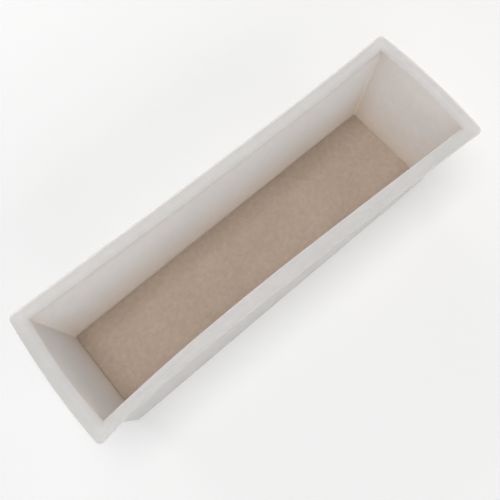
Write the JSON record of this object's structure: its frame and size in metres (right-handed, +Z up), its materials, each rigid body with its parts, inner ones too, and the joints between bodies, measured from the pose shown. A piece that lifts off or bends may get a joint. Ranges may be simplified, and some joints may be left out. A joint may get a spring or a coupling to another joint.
{
  "type": "soap loaf mould",
  "caption": "Soft silicone loaf mould for pouring soap, with drafted walls, a flat rim all round and a loose liner board on its floor.",
  "frame": {"origin": "centre of the flat underside, on the surface that the mould stands on", "axes": "+X along the loaf, +Y across it, +Z up out of the mouth"},
  "size_m": [0.2944, 0.0902, 0.078],
  "materials": {
    "silicone": "translucent white, matte to satin",
    "fibre_board": "matte, finely mottled kraft tan"
  },
  "bodies": {
    "mould": {"silicone_mould": "silicone"},
    "liner": {"liner_board": "fibre_board"}
  },
  "joints": [
    {"name": "liner_lift", "type": "slide", "parent": "mould", "child": "liner", "axis": [0, 0, 1], "range_m": [0, 0.09]}
  ]
}
